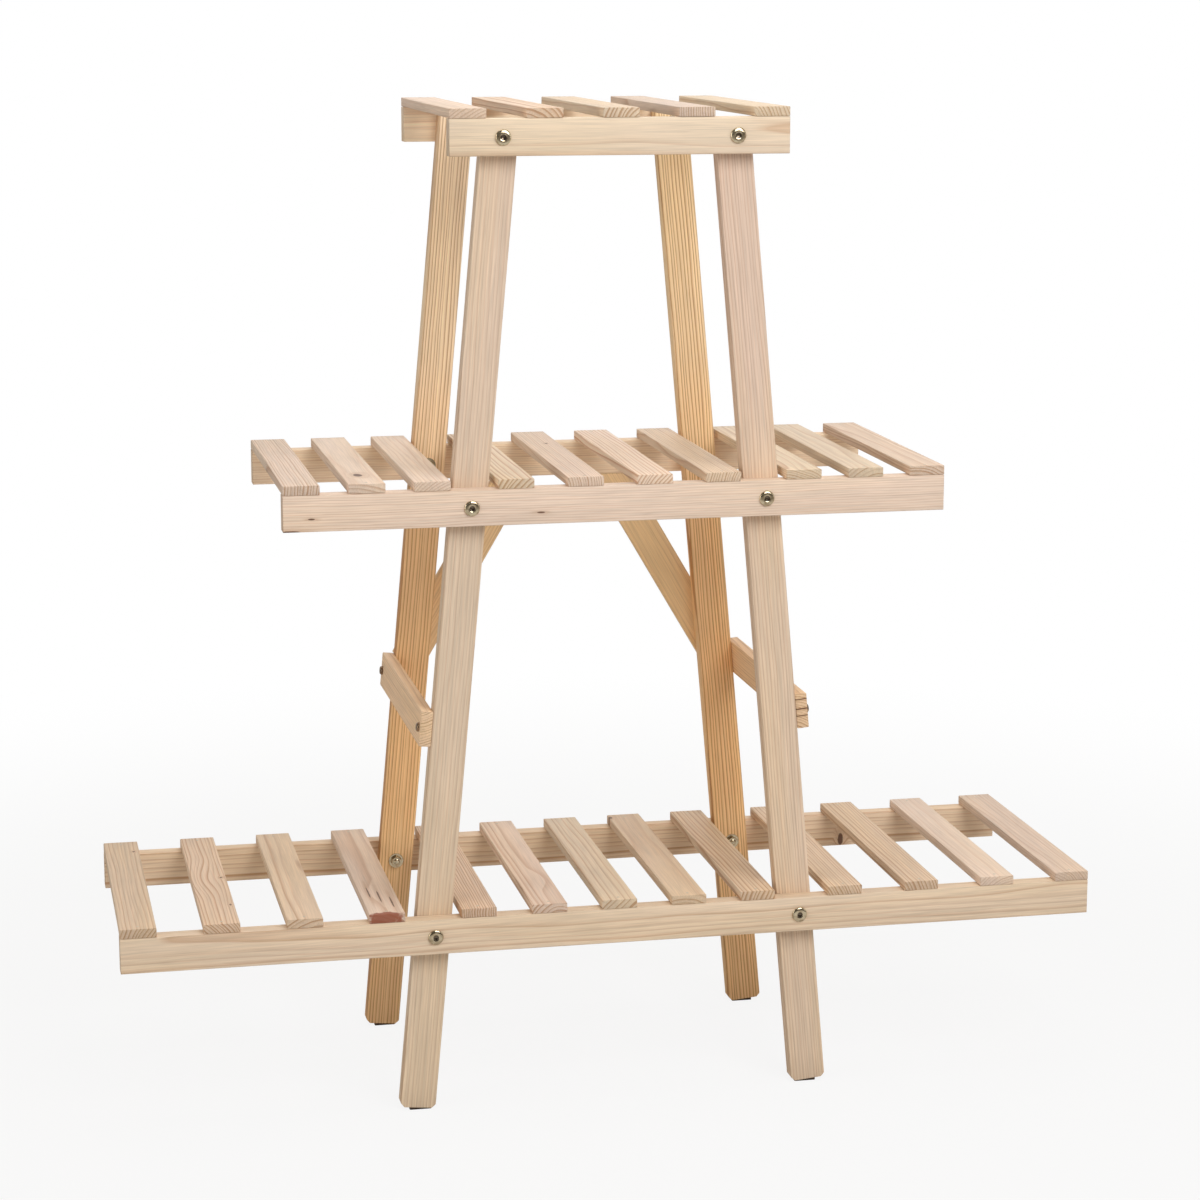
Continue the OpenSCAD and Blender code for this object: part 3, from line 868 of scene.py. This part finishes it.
def draw_screw(long, wide):
    """Wood screw with a domed head, a cross recess and a coarse thread."""
    head, rim, crown = 0.0028, 0.0006, 0.0030
    crest, root, pitch = 0.00225, 0.0015, 0.002
    shank, run_out = crest * 0.9, 0.001
    point, point_long = 0.0002, 0.004
    recess = ((0.0, circle(0.0029)), (0.0, cross(0.0054, 0.0013)),
              (-0.0012, cross(0.0038, 0.0009)), (-0.0019, circle(0.0003)))
    # painted shade reaches out to this radius in the head's top
    shaded_radius = 0.0028
    rings = [(-long, circle(point)), (-long + point_long, circle(root))]
    rings += thread_rings(-long + point_long, -long * 0.45, pitch, crest, root, 0.3, 0.45)
    rings += [(rings[-1][0] + run_out, circle(shank)), (-head, circle(shank))]
    rings += dome_rings(wide / 2, head, rim, crown)
    rings += recess
    return shade_recess(loft(rings), shaded_radius, head)


# ---------------------------------------------------------------- operators

class PLANTSTAND_OT_legs(Operator):
    """Make the four leaning legs"""
    bl_idname = "plant_stand.legs"
    bl_label = "Legs"

    def execute(self, context):
        for side in SIDES:
            add_board(f"front_{side}_leg")
            add_board(f"rear_{side}_leg", warm=True)
        return {"FINISHED"}


class PLANTSTAND_OT_rails(Operator):
    """Make the front and rear rail of each tier"""
    bl_idname = "plant_stand.rails"
    bl_label = "Rails"

    def execute(self, context):
        for tier in TIERS:
            add_board(f"{tier}_front_rail")
            add_board(f"{tier}_rear_rail")
        return {"FINISHED"}


class PLANTSTAND_OT_slats(Operator):
    """Make the slats of the three tiers"""
    bl_idname = "plant_stand.slats"
    bl_label = "Slats"

    def execute(self, context):
        for tier in TIERS:
            count = sum(node.startswith(f"{tier}_slat_") for node in NODES)
            for number in range(1, count + 1):
                add_board(f"{tier}_slat_{number}")
        return {"FINISHED"}


class PLANTSTAND_OT_braces(Operator):
    """Make the side braces and the diagonal braces"""
    bl_idname = "plant_stand.braces"
    bl_label = "Braces"

    def execute(self, context):
        for side in SIDES:
            add_board(f"{side}_side_brace", warm=True)
            add_board(f"{side}_diagonal_brace", warm=True)
        return {"FINISHED"}


class PLANTSTAND_OT_bolts(Operator):
    """Make the frame bolts with their washers and nuts"""
    bl_idname = "plant_stand.bolts"
    bl_label = "Bolts, washers and nuts"

    def execute(self, context):
        fixings = context.scene.plant_stand_fixings
        zinc = plated("zinc_plating", fixings.zinc, fixings.film, rough=0.07)
        add_fixings("frame_bolts", to_front_or_back, draw_bolt, zinc)
        add_fixings("bolt_washers", to_middle, draw_washer, zinc)
        add_fixings("hex_nuts", to_middle, draw_nut, zinc)
        return {"FINISHED"}


class PLANTSTAND_OT_screws(Operator):
    """Make the screws, and finish the slat pins"""
    bl_idname = "plant_stand.screws"
    bl_label = "Screws and pins"

    def execute(self, context):
        fixings = context.scene.plant_stand_fixings
        steel = plated("screw_steel", fixings.screw, toned(fixings.screw, 0.6), rough=0.10)
        pins = plated("pin_steel", fixings.pin, toned(fixings.pin, 0.9), rough=0.45)
        faces = {side: Board(f"{side}_side_brace").thick for side in SIDES}

        def to_side(middle):
            face = faces["left" if middle.x < 0 else "right"]
            return face * math.copysign(1, face.x) * math.copysign(1, middle.x)

        def to_back(middle):
            return Y

        add_fixings("side_brace_screws", to_side, draw_screw, steel)
        add_fixings("diagonal_foot_screws", to_back, draw_screw, steel)
        refinish("diagonal_rail_screws", steel)
        refinish("slat_pins", pins)
        return {"FINISHED"}


class PLANTSTAND_OT_pads(Operator):
    """Finish the soft pads under the legs"""
    bl_idname = "plant_stand.pads"
    bl_label = "Foot pads"

    def execute(self, context):
        felt = soft_pad("pad_felt", context.scene.plant_stand_fixings.pad)
        refinish("foot_pads", felt)
        return {"FINISHED"}


class PLANTSTAND_OT_studio(Operator):
    """Set up the floor, the lamps and the camera"""
    bl_idname = "plant_stand.studio"
    bl_label = "Studio"

    def execute(self, context):
        studio = context.scene.plant_stand_studio
        lay_floor(studio)
        light_room(studio)
        # Each lamp's place, the point it is aimed at, and its width and height
        add_lamp("lamp_main", (0.9, -2.3, 2.3), (0.1, 0.0, 1.05), (1.9, 1.7), studio.key)
        add_lamp("lamp_top", (0.0, 0.1, 2.7), (0.0, 0.0, 0.8), (2.2, 1.6), studio.top)
        add_lamp("lamp_right", (3.2, -1.6, 1.4), (0.0, 0.0, 0.6), (1.4, 2.0), studio.right)
        add_lamp("lamp_left", (-2.7, -1.3, 1.1), (0.0, 0.0, 0.7), (1.4, 2.0), studio.left)
        add_lamp("lamp_rear", (0.8, 3.0, 2.2), (0.0, 0.0, 0.6), (2.4, 1.6), studio.rear)
        add_camera()
        context.scene.view_settings.view_transform = "Standard"
        return {"FINISHED"}


# ---------------------------------------------------------------- studio

FLOOR_REACH = 60.0                     # half the width of the floor
FADE_FROM, FADE_TO = 0.7, 1.9          # distances over which the floor turns to white
WHITE_NEAR = 0.88                      # share of white in the floor near the stand
BACKDROP_EDGE = 0.5                    # how far back a metal looks before it sees white
UNLIT = 0.06                           # light of the room in front, as metal sees it

# The camera, fitted to the corners of the stand in the photograph
CAMERA_PLACE = (-0.62874, -3.02161, 1.11386)
CAMERA_PAN, CAMERA_TILT, CAMERA_ROLL = -11.982, -11.384, -0.053    # degrees
FOCAL_PIXELS, PHOTO_PIXELS = 3023.0, 1200.0                        # its lens and width


def lay_floor(studio):
    """Pale paper that the camera sees as white, but for the stand's soft shadow."""
    bm = bmesh.new()
    bmesh.ops.create_grid(bm, x_segments=1, y_segments=1, size=FLOOR_REACH)
    mesh = bpy.data.meshes.new("floor")
    bm.to_mesh(mesh)
    bm.free()
    floor = add_object("floor", mesh, Matrix.Identity(4))
    material, s = new_material("floor_paper")
    seen = s.node("ShaderNodeLightPath", output="Is Camera Ray")
    place = s.node("ShaderNodeTexCoord", output="Object")
    away = s.node("ShaderNodeVectorMath", {"operation": "LENGTH"}, {0: place}, 1)
    fade = s.smooth(away, FADE_FROM, FADE_TO) * (1.0 - WHITE_NEAR) + WHITE_NEAR
    paper = s.node("ShaderNodeBsdfDiffuse", inputs={"Color": rgba(studio.floor)})
    white = s.node("ShaderNodeEmission", inputs={"Color": (1, 1, 1, 1), "Strength": 1.0})
    shown = s.node("ShaderNodeMixShader", inputs={0: seen * fade, 1: paper, 2: white})
    s.node("ShaderNodeOutputMaterial", inputs={"Surface": shown}, output=None)
    mesh.materials.append(material)


def light_room(studio):
    """Even warm light from all round, and the white backdrop that the camera sees."""
    world = bpy.data.worlds.new("room")
    world.use_nodes = True
    s = Sheet(world.node_tree)
    seen = s.node("ShaderNodeLightPath", output="Is Camera Ray")
    through = s.node("ShaderNodeLightPath", output="Is Transmission Ray")
    shiny = s.node("ShaderNodeLightPath", output="Is Glossy Ray")
    way = s.split(s.node("ShaderNodeTexCoord", output="Generated"))
    # Metal shows the white paper too, where it hangs, and an unlit room in front
    backdrop = seen + through + shiny * s.smooth(way[1], 0.0, BACKDROP_EDGE)
    even = s.node("ShaderNodeBackground", inputs={"Color": rgba(studio.room),
                                                  "Strength": studio.sky})
    unlit = s.node("ShaderNodeBackground", inputs={"Color": rgba(studio.room),
                                                   "Strength": UNLIT})
    white = s.node("ShaderNodeBackground", inputs={"Color": (1, 1, 1, 1), "Strength": 1.0})
    room = s.node("ShaderNodeMixShader", inputs={0: shiny, 1: even, 2: unlit})
    both = s.node("ShaderNodeMixShader", inputs={0: backdrop, 1: room, 2: white})
    s.node("ShaderNodeOutputWorld", inputs={"Surface": both}, output=None)
    bpy.context.scene.world = world


def add_lamp(name, place, target, size, energy):
    lamp = bpy.data.lights.new(name, "AREA")
    lamp.shape = "RECTANGLE"
    lamp.size, lamp.size_y = size
    lamp.energy = energy
    aim = (Vector(target) - Vector(place)).to_track_quat("-Z", "Y")
    add_object(name, lamp, Matrix.Translation(place) @ aim.to_matrix().to_4x4())


def add_camera():
    """A camera in front of the left end, a little above the top shelf."""
    camera = bpy.data.cameras.new("camera")
    camera.sensor_width = 36.0
    camera.lens = FOCAL_PIXELS / PHOTO_PIXELS * camera.sensor_width
    camera.clip_end = 200.0
    turn = (Matrix.Rotation(math.radians(CAMERA_PAN), 3, "Z")
            @ Matrix.Rotation(math.radians(CAMERA_TILT), 3, "X")
            @ Matrix.Rotation(math.radians(CAMERA_ROLL), 3, "Y"))
    to_back = Matrix(((1, 0, 0), (0, 0, -1), (0, 1, 0)))
    look = (turn @ to_back).to_4x4()
    item = add_object("camera", camera, Matrix.Translation(CAMERA_PLACE) @ look)
    bpy.context.scene.camera = item


# ---------------------------------------------------------------- add-on

class PLANTSTAND_PT_panel(Panel):
    bl_idname = "PLANTSTAND_PT_panel"
    bl_label = "Plant stand"
    bl_space_type = "VIEW_3D"
    bl_region_type = "UI"
    bl_category = "Plant stand"

    def draw(self, context):
        for title, group in (("Wood", context.scene.plant_stand_wood),
                             ("Fixings", context.scene.plant_stand_fixings),
                             ("Studio", context.scene.plant_stand_studio)):
            box = self.layout.box()
            box.label(text=title)
            for name in group.__annotations__:
                box.prop(group, name)
        for operator in OPERATORS:
            self.layout.operator(operator.bl_idname)


GROUPS = (PlantStandWood, PlantStandFixings, PlantStandStudio)
OPERATORS = (
    PLANTSTAND_OT_legs, PLANTSTAND_OT_rails, PLANTSTAND_OT_slats, PLANTSTAND_OT_braces,
    PLANTSTAND_OT_bolts, PLANTSTAND_OT_screws, PLANTSTAND_OT_pads, PLANTSTAND_OT_studio,
)


def register():
    for item in (*GROUPS, *OPERATORS, PLANTSTAND_PT_panel):
        bpy.utils.register_class(item)
    bpy.types.Scene.plant_stand_wood = PointerProperty(type=PlantStandWood)
    bpy.types.Scene.plant_stand_fixings = PointerProperty(type=PlantStandFixings)
    bpy.types.Scene.plant_stand_studio = PointerProperty(type=PlantStandStudio)


def unregister():
    del bpy.types.Scene.plant_stand_studio
    del bpy.types.Scene.plant_stand_fixings
    del bpy.types.Scene.plant_stand_wood
    for item in reversed((*GROUPS, *OPERATORS, PLANTSTAND_PT_panel)):
        bpy.utils.unregister_class(item)


def main():
    register()
    for operator in OPERATORS:
        group, name = operator.bl_idname.split(".")
        getattr(getattr(bpy.ops, group), name)()
    bpy.context.view_layer.update()


if __name__ == "__main__":
    main()
